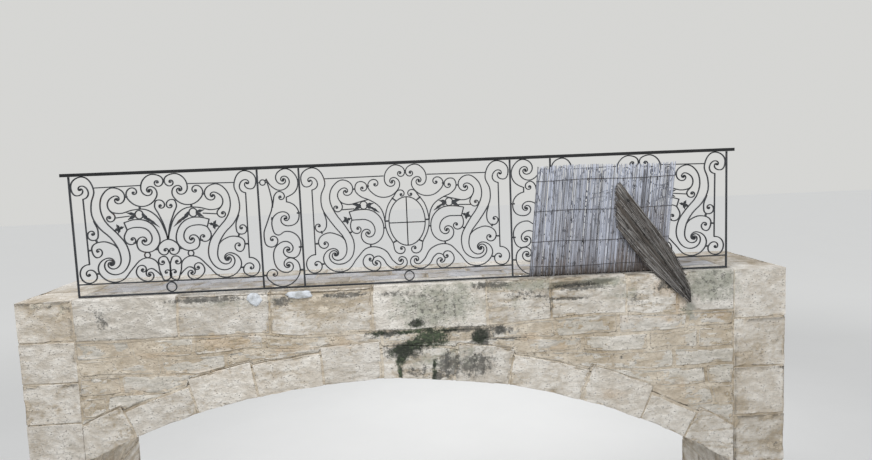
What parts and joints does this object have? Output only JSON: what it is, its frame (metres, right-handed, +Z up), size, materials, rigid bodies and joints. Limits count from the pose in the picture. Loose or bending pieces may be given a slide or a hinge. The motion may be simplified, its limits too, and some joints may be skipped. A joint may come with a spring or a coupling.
{
  "type": "iron gallery balcony on a stone arch",
  "caption": "Forged iron scrollwork railing with collars and rosettes on a stone arch gallery, with a reed screen tied on and a loose reed bundle.",
  "frame": {"origin": "on the ground under the middle of the whole piece", "axes": "+X along the railing to the right seen from the front, +Y from the railed front towards the back, +Z up"},
  "size_m": [6.316, 1.159, 4.6065],
  "materials": {
    "pier_stone": "weathered limestone blocks",
    "arch_stone": "weathered limestone arch stones",
    "rubble_stone": "rough coursed rubble with ochre joints",
    "edge_stone": "worn limestone edge blocks",
    "floor_stone": "worn paving slabs",
    "lime": "rough lime mortar",
    "iron_frame": "old dark paint with rust",
    "iron_scrolls": "old dark paint with rust",
    "iron_collars": "old dark paint",
    "reed": "grey weathered reeds",
    "brown_reed": "brown rotting reeds",
    "wire": "dull tie wire"
  },
  "bodies": {
    "root": {"left_pier": "pier_stone", "right_pier": "pier_stone", "arch_ring": "arch_stone", "front_spandrel": "rubble_stone", "back_spandrel": "rubble_stone", "arch_fill": "rubble_stone", "front_edge_course": "edge_stone", "back_edge_course": "edge_stone", "floor_slabs": "floor_stone", "lime_patches": "lime", "sill_bar": "iron_frame", "handrail": "iron_frame", "left_end_post": "iron_frame", "left_bay_post": "iron_frame", "mid_left_post": "iron_frame", "mid_right_post": "iron_frame", "right_bay_post": "iron_frame", "right_end_post": "iron_frame", "left_low_rail": "iron_frame", "mid_low_rail": "iron_frame", "right_low_rail": "iron_frame", "left_bay_scrolls": "iron_scrolls", "left_narrow_scrolls": "iron_scrolls", "mid_bay_scrolls": "iron_scrolls", "right_narrow_scrolls": "iron_scrolls", "right_bay_scrolls": "iron_scrolls", "left_bay_collars": "iron_collars", "left_narrow_collars": "iron_collars", "mid_bay_collars": "iron_collars", "right_narrow_collars": "iron_collars", "right_bay_collars": "iron_collars", "left_bay_rosettes": "iron_collars", "mid_bay_rosettes": "iron_collars", "right_bay_rosettes": "iron_collars", "left_foot_ring": "iron_scrolls", "mid_foot_ring": "iron_scrolls", "right_foot_ring": "iron_scrolls", "reed_screen": "reed", "screen_wires": "wire", "reed_bundle": "brown_reed"}
  },
  "joints": []
}
